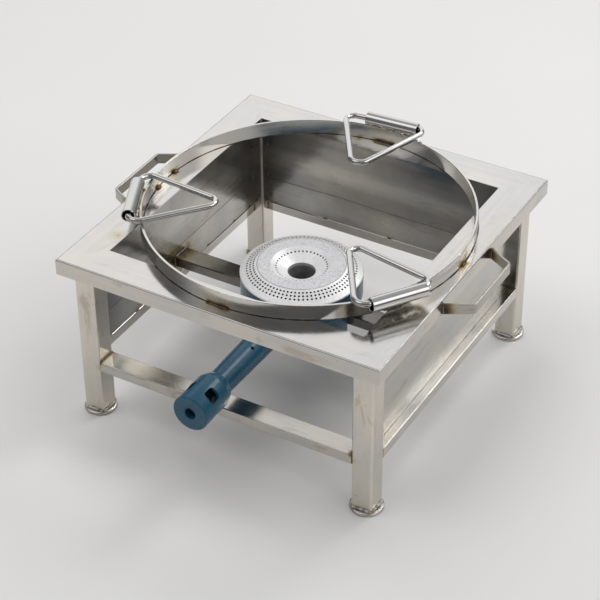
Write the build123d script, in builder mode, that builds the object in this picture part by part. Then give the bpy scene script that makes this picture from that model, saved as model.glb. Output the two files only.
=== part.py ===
from build123d import *
import os
from math import sin, cos, tan, radians, degrees, atan2, hypot, pi

os.makedirs("parts", exist_ok=True)

# ---------------------------------------------------------------- dimensions
# Frame: origin on the floor under the middle of the object's overall box,
# +X right, +Y back, +Z up. The burner tube comes out at the front (-Y), so
# the middle of the deck lies a little behind the origin.
mid_y = 24.25           # middle of the deck, front to back

deck_w = 400.0          # deck, left to right
deck_d = 410.0          # deck, front to back
deck_top = 212.0        # height of the cooking deck
deck_skirt = 19.2       # depth of the turned-down skirt
deck_t = 1.5            # deck sheet
deck_r = 1.8            # outside radius of the fold
open_x = 158.0          # half width of the square opening
open_y = 161.5          # half depth of the square opening

leg_s = 25.4            # square leg tube
leg_wall = 1.5
leg_r = 2.6             # outside corner radius of the tube
leg_inset = 13.3        # deck edge to the leg's outer face
foot_d = 38.6
foot_t = 4.0
foot_chamfer = 1.0

front_rail_h = 12.7     # front rail: as deep as the leg, half as tall
front_rail_top = 75.4
rail_s = 12.7           # side and back rails
rail_wall = 1.2
rail_r = 1.4
right_rail_top = 76.4
left_rail_top = 81.6
back_rail_top = 81.6

panel_t = 1.2
panel_in = 10.7         # leg's outer face to the panel's outer face

bar_w = 25.4            # burner crossbar
bar_h = 12.7
bar_top = 106.5
bar_wall = 1.5

ring_r = 188.4          # pot ring, outside radius
ring_t = 3.0
ring_h = 18.2
ring_cx = 1.5
ring_cy = mid_y - 1.5

sleeve_od = 16.0        # hinge sleeves on the ring
sleeve_id = 13.4

# The three hand-made supports. Each sleeve: place round the ring (degrees),
# distance of its axis from the ring's axis, height, turn away from the
# tangent (degrees), half length. Each rod loop: slide along the sleeve, rise
# and outward shift in the bore, turn and tilt in the bore (degrees), slope
# below level towards the ring's middle (degrees), half of the base to the
# sharp corner, base to the sharp apex, bend radius at the base corners and at
# the apex, sideways shift of the apex.
supports = {
    "left": dict(a=206.5, rad=196.5, z=232.6, yaw=-1.7, half=34.0,
                 slide=-1.8, rise=1.35, out=-1.15, turn=-2.2, tilt=0.0,
                 slope=-0.5, base=53.6, height=103.1, rb=11.3, ra=9.7, lean=0.1),
    "back": dict(a=89.6, rad=196.4, z=233.5, yaw=4.1, half=32.4,
                 slide=7.3, rise=1.55, out=0.0, turn=2.8, tilt=-0.7,
                 slope=1.7, base=53.1, height=107.3, rb=10.0, ra=11.5, lean=0.5),
    "right": dict(a=-32.25, rad=198.9, z=232.05, yaw=-2.2, half=32.6,
                  slide=-1.9, rise=1.95, out=-0.5, turn=0.1, tilt=0.0,
                  slope=-0.2, base=48.6, height=109.4, rb=11.8, ra=9.4, lean=-1.4),
}
rod_r = 3.5             # pot-support rod
rod_gap = 2.0           # gap between the rod's ends, hidden in the sleeve

handle_h = 12.7         # flat bar of the carry handles
handle_t = 3.0
handle_out = 30.6       # how far the grip stands out from the skirt
handle_grip = 44.0      # half length of the grip, to the bend
handle_root = 61.0      # half length at the skirt
handle_cy = mid_y - 3.2
handle_bend = 6.0

burner_y = mid_y - 16.0  # burner axis
bowl_top = 149.8
bowl_r = 70.0           # upper drum
bowl_wall = 4.0
bowl_low_r = 58.0       # lower drum
bowl_bottom = 80.0
bowl_floor = 118.0      # roof of the saddle slot
slot_half = 13.2        # saddle slot over the crossbar
chimney_ir = 16.0
chimney_or = 20.0

cap_holes = 80          # ports in each of the three rows
cap_port_d = 2.4
cap_inner_holes = 40
cap_inner_d = 2.0

tube_z = 110.8          # venturi tube axis
tube_wall = 3.0
bell_r = 21.3
bell_front = mid_y - 253.5
inlet_r = 6.58
jet_r = 5.05            # seat of the gas jet behind the inlet thread
window_l = 15.5         # air windows in the bell
window_w = 15.0
window_angles = (46.0, 136.0, 226.0, 316.0)
window_y = mid_y - 230.9

bolt_x = 38.0
bolt_r = 4.0

# ------------------------------------------------------------- derived sizes
hx = deck_w / 2
hy = deck_d / 2
leg_ox = hx - leg_inset            # leg outer faces
leg_oy = hy - leg_inset
leg_ix = leg_ox - leg_s            # leg inner faces
leg_iy = leg_oy - leg_s
leg_cx = leg_ox - leg_s / 2
leg_cy = leg_oy - leg_s / 2
deck_under = deck_top - deck_t
panel_ox = leg_ox - panel_in
panel_oy = leg_oy - panel_in
bar_bottom = bar_top - bar_h


def finish(part, name):
    part.label = name
    export_step(part, f"parts/{name}.step")


# ---------------------------------------------------------------------- deck
# Four folded angle strips with mitred ends. Each strip is the folded section
# swept straight along one side, then cut by the two mitre planes.
def deck_strip(side):
    along_x = side in ("front", "back")
    s = -1 if side in ("front", "left") else 1
    half = hx if along_x else hy
    across = hy if along_x else hx
    inner = open_y if along_x else open_x
    # section in (outward, up)
    if along_x:
        base = Plane(origin=(0, mid_y, 0), x_dir=(0, s, 0), z_dir=(s, 0, 0))
    else:
        base = Plane(origin=(0, mid_y, 0), x_dir=(s, 0, 0), z_dir=(0, -s, 0))
    with BuildPart() as strip:
        with BuildSketch(base) as sec:
            with BuildLine():
                Polyline(
                    (inner, deck_top), (across, deck_top),
                    (across, deck_top - deck_skirt),
                    (across - deck_t, deck_top - deck_skirt),
                    (across - deck_t, deck_under), (inner, deck_under),
                    close=True)
            make_face()
            outer = sec.vertices().filter_by(
                lambda v: abs(v.X - across) < 1e-3 and abs(v.Y - deck_top) < 1e-3)
            fillet(outer, deck_r)
        extrude(amount=half, both=True)
        # mitres: planes through the opening corner and the deck corner
        for e in (-1, 1):
            cx, cy = (e * hx, s * hy) if along_x else (s * hx, e * hy)
            ox, oy = (e * open_x, s * open_y) if along_x else (s * open_x, e * open_y)
            dx, dy = cx - ox, cy - oy
            n = (-dy, dx, 0)
            mx, my = (0, s * hy) if along_x else (s * hx, 0)
            if (mx - ox) * n[0] + (my - oy) * n[1] < 0:
                n = (dy, -dx, 0)
            split(bisect_by=Plane(origin=(ox, mid_y + oy, 0), z_dir=n),
                  keep=Keep.TOP)
    return strip.part


for side in ("front", "back", "left", "right"):
    finish(deck_strip(side), f"deck_{side}")


# ---------------------------------------------------------------------- legs
def square_tube(plane, w, h, wall, r, length):
    with BuildPart() as tube:
        with BuildSketch(plane):
            RectangleRounded(w, h, r)
            RectangleRounded(w - 2 * wall, h - 2 * wall,
                             max(r - wall, 0.3), mode=Mode.SUBTRACT)
        extrude(amount=length)
    return tube.part


for sx, nx in ((-1, "left"), (1, "right")):
    for sy, ny in ((-1, "front"), (1, "back")):
        leg = square_tube(Plane(origin=(sx * leg_cx, mid_y + sy * leg_cy, foot_t)),
                          leg_s, leg_s, leg_wall, leg_r, deck_under - foot_t)
        finish(leg, f"leg_{ny}_{nx}")
        with BuildPart() as foot:
            with BuildSketch(Plane(origin=(sx * leg_cx, mid_y + sy * leg_cy, 0))):
                Circle(foot_d / 2)
            extrude(amount=foot_t)
            chamfer(foot.edges().group_by(Axis.Z)[-1], foot_chamfer)
        finish(foot.part, f"foot_{ny}_{nx}")

# --------------------------------------------------------------------- rails
front_rail = square_tube(
    Plane(origin=(-leg_ix, mid_y - leg_cy, front_rail_top - front_rail_h / 2),
          x_dir=(0, 1, 0), z_dir=(1, 0, 0)),
    leg_s, front_rail_h, rail_wall, rail_r, 2 * leg_ix)
finish(front_rail, "rail_front")

back_rail = square_tube(
    Plane(origin=(-leg_ix, mid_y + leg_oy - rail_s / 2,
                  back_rail_top - rail_s / 2),
          x_dir=(0, 1, 0), z_dir=(1, 0, 0)),
    rail_s, rail_s, rail_wall, rail_r, 2 * leg_ix)
finish(back_rail, "rail_back")

for s, name, top in ((-1, "left", left_rail_top), (1, "right", right_rail_top)):
    rail = square_tube(
        Plane(origin=(s * (leg_ox - rail_s / 2), mid_y - leg_iy,
                      top - rail_s / 2),
              x_dir=(-1, 0, 0), z_dir=(0, 1, 0)),
        rail_s, rail_s, rail_wall, rail_r, 2 * leg_iy)
    finish(rail, f"rail_{name}")

# -------------------------------------------------------------------- panels
for s, name, top in ((-1, "left", left_rail_top), (1, "right", right_rail_top)):
    with BuildPart() as side_panel:
        with BuildSketch(Plane(origin=(s * (panel_ox - panel_t / 2), mid_y, top))):
            Rectangle(panel_t, 2 * leg_iy)
        extrude(amount=deck_under - top)
    finish(side_panel.part, f"panel_{name}")

with BuildPart() as back_panel:
    with BuildSketch(Plane(origin=(0, mid_y + panel_oy - panel_t / 2,
                                   back_rail_top))):
        Rectangle(2 * leg_ix, panel_t)
    extrude(amount=deck_under - back_rail_top)
finish(back_panel.part, "panel_back")

# ------------------------------------------------------------------- handles
# Flat bar stood on edge and bent to a shallow trapezoid, flush with the
# skirt's lower edge.
for s, name in ((-1, "left"), (1, "right")):
    with BuildPart() as handle:
        with BuildSketch(Plane.XY.offset(deck_top - deck_skirt)) as hs:
            with BuildLine() as hl:
                FilletPolyline(
                    (s * hx, handle_cy - handle_root),
                    (s * (hx + handle_out), handle_cy - handle_grip),
                    (s * (hx + handle_out), handle_cy + handle_grip),
                    (s * hx, handle_cy + handle_root),
                    radius=handle_bend)
                FilletPolyline(
                    (s * hx, handle_cy - handle_root + handle_t * 1.17),
                    (s * (hx + handle_out - handle_t),
                     handle_cy - handle_grip + handle_t * 0.56),
                    (s * (hx + handle_out - handle_t),
                     handle_cy + handle_grip - handle_t * 0.56),
                    (s * hx, handle_cy + handle_root - handle_t * 1.17),
                    radius=handle_bend - handle_t)
                Line((s * hx, handle_cy - handle_root),
                     (s * hx, handle_cy - handle_root + handle_t * 1.17))
                Line((s * hx, handle_cy + handle_root),
                     (s * hx, handle_cy + handle_root - handle_t * 1.17))
            make_face()
        extrude(amount=handle_h)
        fillet(handle.edges().filter_by(GeomType.LINE).filter_by(
            lambda e: abs(e.center().X) < hx + handle_out + 1
            and e.length > 2 * handle_grip - 12
            and abs(e.center().Y - handle_cy) < 0.5), 0.6)
    finish(handle.part, f"handle_{name}")

# ------------------------------------------------------------------ pot ring
with BuildPart() as pot_ring:
    with BuildSketch(Plane(origin=(ring_cx, ring_cy, deck_top))):
        Circle(ring_r)
        Circle(ring_r - ring_t, mode=Mode.SUBTRACT)
    extrude(amount=ring_h)
    fillet(pot_ring.edges().group_by(Axis.Z)[-1], 0.5)
finish(pot_ring.part, "pot_ring")

# ------------------------------------- hinge sleeves and flip-over supports
for name, d in supports.items():
    a = radians(d["a"])
    e = Vector(cos(a), sin(a), 0)
    c = Vector(ring_cx, ring_cy, d["z"]) + e * d["rad"]
    ay = a + radians(d["yaw"])
    t = Vector(-sin(ay), cos(ay), 0)
    with BuildPart() as sleeve:
        with BuildSketch(Plane(origin=c - t * d["half"], x_dir=(0, 0, 1), z_dir=t)):
            Circle(sleeve_od / 2)
            Circle(sleeve_id / 2, mode=Mode.SUBTRACT)
        extrude(amount=2 * d["half"])
        chamfer(sleeve.edges().filter_by(GeomType.CIRCLE), 0.3)
    finish(sleeve.part, f"hinge_sleeve_{name}")

    # the rod loop lies in a plane through the hinge axis, sloping slightly
    # towards the middle of the ring
    ar = ay + radians(d["turn"])
    tilt = radians(d["tilt"])
    axis = Vector(-sin(ar) * cos(tilt), cos(ar) * cos(tilt), sin(tilt))
    level = Vector(0, 0, 1).cross(axis).normalized()
    up = level.cross(axis) * -1
    slope = radians(d["slope"])
    inward = level * cos(slope) - up * sin(slope)
    hinge = c + e * d["out"] + Vector(0, 0, d["rise"]) + axis * d["slide"]
    base = Plane(origin=hinge, x_dir=axis, z_dir=axis.cross(inward))
    with BuildPart() as support:
        with BuildLine(base) as loop:
            FilletPolyline(
                (rod_gap / 2, 0), (d["base"], 0), (d["lean"], d["height"]),
                (-d["base"], 0), (-rod_gap / 2, 0),
                radius=[d["rb"], d["ra"], d["rb"]])
        with BuildSketch(Plane(origin=loop.line @ 0, z_dir=loop.line % 0)):
            Circle(rod_r)
        sweep()
    finish(support.part, f"pot_support_{name}")
    print(name, "hinge", [round(v, 3) for v in (hinge.X, hinge.Y, hinge.Z)],
          "axis", [round(v, 6) for v in (axis.X, axis.Y, axis.Z)])

# ----------------------------------------------------------- burner crossbar
with BuildPart() as crossbar:
    with BuildSketch(Plane(origin=(-panel_ox + panel_t, mid_y, bar_top - bar_h / 2),
                           x_dir=(0, 1, 0), z_dir=(1, 0, 0))):
        RectangleRounded(bar_w, bar_h, rail_r)
        RectangleRounded(bar_w - 2 * bar_wall, bar_h - 2 * bar_wall, 0.4,
                         mode=Mode.SUBTRACT)
    extrude(amount=2 * (panel_ox - panel_t))
    with BuildSketch(Plane.XY.offset(bar_bottom - 1)):
        with Locations((-bolt_x, mid_y), (bolt_x, mid_y)):
            Circle(bolt_r + 0.5)
    extrude(amount=bar_h + 2, mode=Mode.SUBTRACT)
finish(crossbar.part, "burner_crossbar")


# ----------------------------------------------------------- burner casting
# Outer radius of the venturi tube along its length.
tube_prof = [(mid_y + y, r) for y, r in (
    (-203.0, 14.8), (-196.0, 14.8), (-180.0, 15.1), (-130.0, 16.0),
    (-92.0, 16.8), (-69.0, 16.8))]

with BuildPart() as bowl:
    # body of revolution about the burner axis
    with BuildSketch(Plane(origin=(0, burner_y, 0), x_dir=(1, 0, 0),
                           z_dir=(0, -1, 0))) as bs:
        with BuildLine():
            Polyline((chimney_ir, bowl_bottom), (bowl_low_r, bowl_bottom),
                     (bowl_low_r, 113.0), (bowl_r, 122.5), (bowl_r, bowl_top),
                     (bowl_r - bowl_wall, bowl_top),
                     (bowl_r - bowl_wall, 124.5), (bowl_low_r - bowl_wall, 115.5),
                     (bowl_low_r - bowl_wall, bowl_bottom + bowl_wall + 1),
                     (chimney_or, bowl_bottom + bowl_wall + 1),
                     (chimney_or, 146.2), (chimney_ir, 146.2), close=True)
        make_face()
        corner = bs.vertices().filter_by(
            lambda v: abs(v.X - bowl_low_r) < 0.01 and abs(v.Y - bowl_bottom) < 0.01)
        fillet(corner, 6.0)
        shoulder = bs.vertices().filter_by(
            lambda v: (abs(v.X - bowl_low_r) < 0.01 and abs(v.Y - 113.0) < 0.01)
            or (abs(v.X - bowl_r) < 0.01 and abs(v.Y - 122.5) < 0.01))
        fillet(shoulder, 4.0)
        lip = bs.vertices().filter_by(
            lambda v: abs(v.X - bowl_r) < 0.01 and abs(v.Y - bowl_top) < 0.01)
        fillet(lip, 1.2)
    revolve(axis=Axis((0, burner_y, 0), (0, 0, 1)))
    # solid web over the saddle slot, inside the lower drum
    with BuildSketch(Plane.XY.offset(bowl_bottom + 2.0)):
        with Locations((0, burner_y)):
            Circle(bowl_low_r - 1.0)
            Circle(chimney_or - 1.0, mode=Mode.SUBTRACT)
        with Locations((0, mid_y)):
            Rectangle(2 * bowl_r + 20, 2 * (slot_half + bowl_wall),
                      mode=Mode.INTERSECT)
    extrude(amount=bowl_floor - bowl_bottom - 2.0)
    # saddle slot
    with BuildSketch(Plane(origin=(0, mid_y, bowl_bottom - 2.0))):
        Rectangle(2 * bowl_r + 20, 2 * slot_half)
    extrude(amount=bar_top - bowl_bottom + 2.0, mode=Mode.SUBTRACT)
    # keep the chimney's bore clear
    with BuildSketch(Plane(origin=(0, burner_y, bowl_bottom - 2))):
        Circle(chimney_ir)
    extrude(amount=bowl_top - bowl_bottom, mode=Mode.SUBTRACT)
    # tapped holes for the two bolts
    with BuildSketch(Plane.XY.offset(bar_top - 1)):
        with Locations((-bolt_x, mid_y), (bolt_x, mid_y)):
            Circle(bolt_r)
    extrude(amount=bowl_floor - bar_top + 2, mode=Mode.SUBTRACT)
    # raised collar and bore where the venturi tube enters
    with BuildSketch(Plane(origin=(0, mid_y - 78.5, tube_z), x_dir=(1, 0, 0),
                           z_dir=(0, 1, 0))):
        Circle(19.6)
    extrude(amount=14.0)
    with BuildSketch(Plane(origin=(0, mid_y - 92.0, tube_z), x_dir=(1, 0, 0),
                           z_dir=(0, 1, 0))):
        Circle(16.85)
    extrude(amount=31.0, mode=Mode.SUBTRACT)
finish(bowl.part, "burner_bowl")

# ---------------------------------------------------------------- burner cap
cap_top = [(70.3, bowl_top), (70.3, 150.9), (69.7, 151.5), (62.2, 154.9),
           (58.4, 156.9), (54.6, 158.8), (50.4, 160.4), (35.0, 160.4),
           (29.1, 157.0), (16.1, 150.3)]
cap_under = [(16.1, 146.5), (21.5, 146.5), (21.5, 149.0), (30.5, 153.4),
             (36.0, 156.6), (49.4, 156.6), (61.0, 151.2), (62.2, 150.0),
             (62.2, 144.0), (65.7, 144.0), (65.7, bowl_top)]


def cap_height(r):
    for (r0, z0), (r1, z1) in zip(cap_top[:-1], cap_top[1:]):
        if r1 <= r <= r0 and r0 != r1:
            return z0 + (z1 - z0) * (r0 - r) / (r0 - r1)
    return cap_top[-1][1]


with BuildPart() as cap:
    with BuildSketch(Plane(origin=(0, burner_y, 0), x_dir=(1, 0, 0),
                           z_dir=(0, -1, 0))) as cs:
        with BuildLine():
            Polyline(*cap_top, *cap_under, close=True)
        make_face()
        soft = cs.vertices().filter_by(
            lambda v: abs(v.Y - 160.4) < 0.01 and (abs(v.X - 50.4) < 0.01
                                                  or abs(v.X - 35.0) < 0.01))
        fillet(soft, 2.5)
    revolve(axis=Axis((0, burner_y, 0), (0, 0, 1)))
    # three rows of ports in line with each other, drilled square to the cone
    cone = atan2(158.8 - 154.9, 62.2 - 54.6)
    ports = []
    for r in (62.2, 58.4, 54.6):
        for i in range(cap_holes):
            a = 2 * pi * i / cap_holes
            n = Vector(sin(cone) * cos(a), sin(cone) * sin(a), cos(cone))
            p = Vector(r * cos(a), burner_y + r * sin(a), cap_height(r))
            ports.append(Plane(origin=p + n * 1.5, z_dir=n))
    with Locations(*ports):
        Cylinder(cap_port_d / 2, 16, mode=Mode.SUBTRACT)
    # one row of small ports in the dish
    with BuildSketch(Plane(origin=(0, burner_y, 140.0))):
        with PolarLocations(29.1, cap_inner_holes):
            Circle(cap_inner_d / 2)
    extrude(amount=25, mode=Mode.SUBTRACT)
finish(cap.part, "burner_cap")

# -------------------------------------------------------------- venturi tube
with BuildPart() as tube:
    with BuildSketch(Plane(origin=(0, 0, tube_z), x_dir=(0, 1, 0),
                           z_dir=(1, 0, 0))):
        with BuildLine():
            Polyline(*[(y, r) for y, r in tube_prof],
                     *[(y, r - tube_wall) for y, r in reversed(tube_prof)],
                     close=True)
        make_face()
    revolve(axis=Axis((0, 0, tube_z), (0, 1, 0)))
    # small tapping on the tube's upper right
    tap_dir = Vector(cos(radians(60)), 0, sin(radians(60)))
    with Locations(Plane(origin=Vector(0, mid_y - 137.8, tube_z) + tap_dir * 14.5,
                         z_dir=tap_dir)):
        Cylinder(2.1, 6, mode=Mode.SUBTRACT)
finish(tube.part, "venturi_tube")

# ---------------------------------------------------------------- mixer bell
with BuildPart() as bell:
    with BuildSketch(Plane(origin=(0, 0, tube_z), x_dir=(0, 1, 0),
                           z_dir=(1, 0, 0))) as ms:
        with BuildLine():
            Polyline((bell_front, inlet_r), (bell_front, bell_r),
                     (bell_front + 44.5, bell_r), (bell_front + 51.5, 19.0),
                     (bell_front + 55.5, 17.2), (bell_front + 57.5, 14.85),
                     (bell_front + 50.5, 14.85), (bell_front + 50.5, 12.0),
                     (bell_front + 44.5, 17.4), (bell_front + 13.5, 17.4),
                     (bell_front + 13.5, jet_r), (bell_front + 9.5, jet_r),
                     (bell_front + 9.5, inlet_r), close=True)
        make_face()
        fillet(ms.vertices().filter_by(
            lambda v: abs(v.X - bell_front - 44.5) < 0.01
            and abs(v.Y - bell_r) < 0.01), 6.0)
        fillet(ms.vertices().filter_by(
            lambda v: abs(v.X - bell_front) < 0.01
            and abs(v.Y - bell_r) < 0.01), 1.6)
    revolve(axis=Axis((0, 0, tube_z), (0, 1, 0)))
    for a in window_angles:
        n = Vector(cos(radians(a)), 0, sin(radians(a)))
        with BuildSketch(Plane(origin=Vector(0, window_y, tube_z) + n * 12,
                               x_dir=(0, 1, 0), z_dir=n)):
            RectangleRounded(window_l, window_w, 3.5)
        extrude(amount=15, mode=Mode.SUBTRACT)
    # lead-in chamfer at the gas inlet
    with BuildSketch(Plane(origin=(0, bell_front, tube_z), x_dir=(1, 0, 0),
                           z_dir=(0, 1, 0))):
        Circle(inlet_r + 0.7)
    extrude(amount=0.7, taper=44, mode=Mode.SUBTRACT)
finish(bell.part, "mixer_bell")

# ------------------------------------------------------------------- gas jet
with BuildPart() as jet:
    with BuildSketch(Plane(origin=(0, bell_front + 9.5, tube_z), x_dir=(1, 0, 0),
                           z_dir=(0, 1, 0))):
        Circle(jet_r - 0.06)
    extrude(amount=4.0)
    with BuildSketch(Plane(origin=(0, bell_front + 13.5, tube_z), x_dir=(1, 0, 0),
                           z_dir=(0, 1, 0))):
        RegularPolygon(8.6, 6)
    extrude(amount=4.0)
    with BuildSketch(Plane(origin=(0, bell_front + 17.5, tube_z), x_dir=(1, 0, 0),
                           z_dir=(0, 1, 0))):
        Circle(4.4)
    extrude(amount=5.0, taper=18)
    with BuildSketch(Plane(origin=(0, bell_front + 8.5, tube_z), x_dir=(1, 0, 0),
                           z_dir=(0, 1, 0))):
        Circle(0.9)
    extrude(amount=20.0, mode=Mode.SUBTRACT)
finish(jet.part, "gas_jet")

# ---------------------------------------------------------- burner fasteners
with BuildPart() as washers:
    with BuildSketch(Plane.XY.offset(bar_bottom - 1.6)):
        with Locations((-bolt_x, mid_y), (bolt_x, mid_y)):
            Circle(8.0)
            Circle(bolt_r + 0.3, mode=Mode.SUBTRACT)
    extrude(amount=1.6)
finish(washers.part, "burner_washers")

with BuildPart() as bolts:
    with BuildSketch(Plane.XY.offset(bar_bottom - 1.6 - 5.3)):
        with Locations((-bolt_x, mid_y), (bolt_x, mid_y)):
            RegularPolygon(7.5, 6)
    extrude(amount=5.3)
    chamfer(bolts.edges().group_by(Axis.Z)[0], 0.8)
    with BuildSketch(Plane.XY.offset(bar_bottom - 1.6)):
        with Locations((-bolt_x, mid_y), (bolt_x, mid_y)):
            Circle(bolt_r - 0.05)
    extrude(amount=24.0)
finish(bolts.part, "burner_bolts")

print("done")
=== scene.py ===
import bpy, bmesh, math, random
from math import sin, cos, tan, pi, radians, sqrt, atan2, hypot
from mathutils import Vector, Matrix, noise


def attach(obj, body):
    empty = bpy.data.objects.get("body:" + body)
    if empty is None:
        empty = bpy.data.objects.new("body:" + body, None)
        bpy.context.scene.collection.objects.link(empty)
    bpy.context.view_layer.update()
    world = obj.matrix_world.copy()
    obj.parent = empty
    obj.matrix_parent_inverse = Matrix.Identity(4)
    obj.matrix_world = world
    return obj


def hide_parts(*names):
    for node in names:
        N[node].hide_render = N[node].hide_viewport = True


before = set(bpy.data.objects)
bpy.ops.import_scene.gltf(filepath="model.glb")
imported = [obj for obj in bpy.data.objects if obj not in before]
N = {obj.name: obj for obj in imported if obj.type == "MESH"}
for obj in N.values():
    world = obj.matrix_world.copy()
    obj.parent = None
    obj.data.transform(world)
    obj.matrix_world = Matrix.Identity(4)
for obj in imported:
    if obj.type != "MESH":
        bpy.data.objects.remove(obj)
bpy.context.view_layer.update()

MY = 0.02425            # middle of the deck, front to back
COL = bpy.context.scene.collection


# =====================================================================
# camera
# =====================================================================
def make_camera():
    az, el, roll = radians(30.296), radians(36.093), radians(-0.481)
    dist = 2.586634
    back = Vector((sin(az) * cos(el), -cos(az) * cos(el), sin(el)))
    target = Vector((-0.144208, 0.250744, -0.096296))
    x = Vector((0, 0, 1)).cross(back).normalized()
    y = back.cross(x)
    x2 = x * cos(roll) + y * sin(roll)
    y2 = y * cos(roll) - x * sin(roll)
    data = bpy.data.cameras.new("camera")
    data.sensor_width = 36.0
    data.lens = 1957.193 / 600.0 * 36.0
    data.clip_start, data.clip_end = 0.1, 60.0
    cam = bpy.data.objects.new("camera", data)
    COL.objects.link(cam)
    m = Matrix.Identity(4)
    for i in range(3):
        m[i][0], m[i][1], m[i][2] = x2[i], y2[i], back[i]
        m[i][3] = target[i] + back[i] * dist
    cam.matrix_world = m
    bpy.context.scene.camera = cam


make_camera()


# =====================================================================
# node graph helper
# =====================================================================
class Graph:
    def __init__(self, name):
        self.mat = bpy.data.materials.new(name)
        self.mat.use_nodes = True
        self.nt = self.mat.node_tree
        self.nt.nodes.clear()
        self.out = self.new("ShaderNodeOutputMaterial")
        self.bsdf = self.new("ShaderNodeBsdfPrincipled")
        self.nt.links.new(self.bsdf.outputs[0], self.out.inputs[0])
        self.co = self.new("ShaderNodeTexCoord").outputs["Object"]

    def new(self, kind):
        return self.nt.nodes.new(kind)

    def put(self, socket, value):
        if hasattr(value, "is_output"):
            self.nt.links.new(value, socket)
        elif isinstance(value, (tuple, list)) and len(value) == 3 and socket.type == "RGBA":
            socket.default_value = (*value, 1.0)
        else:
            socket.default_value = value

    def math(self, op, a, b=0.0, c=0.0, clamp=False):
        n = self.new("ShaderNodeMath")
        n.operation, n.use_clamp = op, clamp
        self.put(n.inputs[0], a)
        self.put(n.inputs[1], b)
        self.put(n.inputs[2], c)
        return n.outputs[0]

    def vec(self, op, a, b=(0, 0, 0), scale=None):
        n = self.new("ShaderNodeVectorMath")
        n.operation = op
        self.put(n.inputs[0], a)
        if op != "LENGTH" and op != "SCALE":
            self.put(n.inputs[1], b)
        if scale is not None:
            self.put(n.inputs["Scale"], scale)
        return n.outputs["Value"] if op in ("LENGTH", "DOT_PRODUCT", "DISTANCE") else n.outputs[0]

    def xyz(self, v=None):
        n = self.new("ShaderNodeSeparateXYZ")
        self.put(n.inputs[0], self.co if v is None else v)
        return n.outputs[0], n.outputs[1], n.outputs[2]

    def join(self, x, y, z):
        n = self.new("ShaderNodeCombineXYZ")
        for s, v in zip(n.inputs, (x, y, z)):
            self.put(s, v)
        return n.outputs[0]

    def scaled(self, s, v=None, offset=(0, 0, 0)):
        out = self.vec("MULTIPLY", self.co if v is None else v, s)
        if any(offset):
            out = self.vec("ADD", out, offset)
        return out

    def noise(self, scale, detail=2.0, rough=0.5, v=None, distortion=0.0, colour=False):
        n = self.new("ShaderNodeTexNoise")
        self.put(n.inputs["Vector"], self.co if v is None else v)
        self.put(n.inputs["Scale"], scale)
        self.put(n.inputs["Detail"], detail)
        self.put(n.inputs["Roughness"], rough)
        self.put(n.inputs["Distortion"], distortion)
        return n.outputs["Color" if colour else "Fac"]

    def voronoi(self, scale, v=None, feature="F1", out="Distance", rand=1.0):
        n = self.new("ShaderNodeTexVoronoi")
        n.feature = feature
        self.put(n.inputs["Vector"], self.co if v is None else v)
        self.put(n.inputs["Scale"], scale)
        self.put(n.inputs["Randomness"], rand)
        return n.outputs[out]

    def ramp(self, fac, stops, interpolation="LINEAR"):
        n = self.new("ShaderNodeValToRGB")
        n.color_ramp.interpolation = interpolation
        el = n.color_ramp.elements
        while len(el) < len(stops):
            el.new(0.5)
        for e, (p, c) in zip(el, stops):
            e.position = p
            e.color = (*c, 1.0) if isinstance(c, (tuple, list)) else (c, c, c, 1.0)
        self.put(n.inputs[0], fac)
        return n.outputs[0]

    def span(self, v, a, b, c=0.0, d=1.0, smooth=False):
        n = self.new("ShaderNodeMapRange")
        n.interpolation_type = "SMOOTHSTEP" if smooth else "LINEAR"
        n.clamp = True
        for s, x in zip(n.inputs[:5], (v, a, b, c, d)):
            self.put(s, x)
        return n.outputs[0]

    def mix(self, fac, a, b, blend="MIX"):
        n = self.new("ShaderNodeMix")
        n.data_type = "RGBA"
        n.blend_type = blend
        n.clamp_factor = True
        self.put(n.inputs[0], fac)
        self.put(n.inputs[6], a)
        self.put(n.inputs[7], b)
        return n.outputs[2]

    def bump(self, height, strength, distance, normal=None):
        n = self.new("ShaderNodeBump")
        self.put(n.inputs["Height"], height)
        self.put(n.inputs["Strength"], strength)
        self.put(n.inputs["Distance"], distance)
        if normal is not None:
            self.put(n.inputs["Normal"], normal)
        return n.outputs[0]

    def set(self, **kw):
        for k, v in kw.items():
            self.put(self.bsdf.inputs[k.replace("_", " ")], v)


# =====================================================================
# weld heat: spots and lines of tint, as distances from places on the part
# =====================================================================
HEAT = [
    (0.00, (1.0, 1.0, 1.0)),
    (0.18, (1.0, 0.99, 0.95)),
    (0.36, (0.95, 0.89, 0.74)),
    (0.50, (0.74, 0.64, 0.47)),
    (0.62, (0.50, 0.405, 0.32)),
    (0.74, (0.30, 0.235, 0.19)),
    (0.88, (0.16, 0.12, 0.095)),
    (1.00, (0.085, 0.064, 0.05)),
]


def heat(g, items, warp=0.005, fine=70.0):
    """Largest tint of all spots ("s", centre, radius, strength) and lines
    ("l", a, b, radius, strength), with the places pushed about by noise."""
    shift = g.vec("SUBTRACT", g.noise(fine, 3, 0.6, colour=True), (0.5, 0.5, 0.5))
    p = g.vec("ADD", g.co, g.vec("SCALE", shift, scale=warp * 2))
    total = None
    for it in items:
        if it[0] == "s":
            _, c, r, s = it
            d = g.vec("DISTANCE", p, c)
        else:
            _, a, b, r, s = it
            a, b = Vector(a), Vector(b)
            ab = b - a
            t = g.vec("DOT_PRODUCT", g.vec("SUBTRACT", p, tuple(a)), tuple(ab / ab.length_squared))
            t = g.math("MULTIPLY", t, 1.0, clamp=True)
            d = g.vec("DISTANCE", p, g.vec("MULTIPLY_ADD", tuple(ab), (0, 0, 0)) if False else
                      g.vec("ADD", g.vec("SCALE", tuple(ab), scale=t), tuple(a)))
        h = g.math("MULTIPLY_ADD", d, -s / r, s)
        total = h if total is None else g.math("MAXIMUM", total, h)
    return g.math("MAXIMUM", total, 0.0)


def tint(g, colour, h):
    return g.mix(1.0, colour, g.ramp(h, HEAT), "MULTIPLY")


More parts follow.
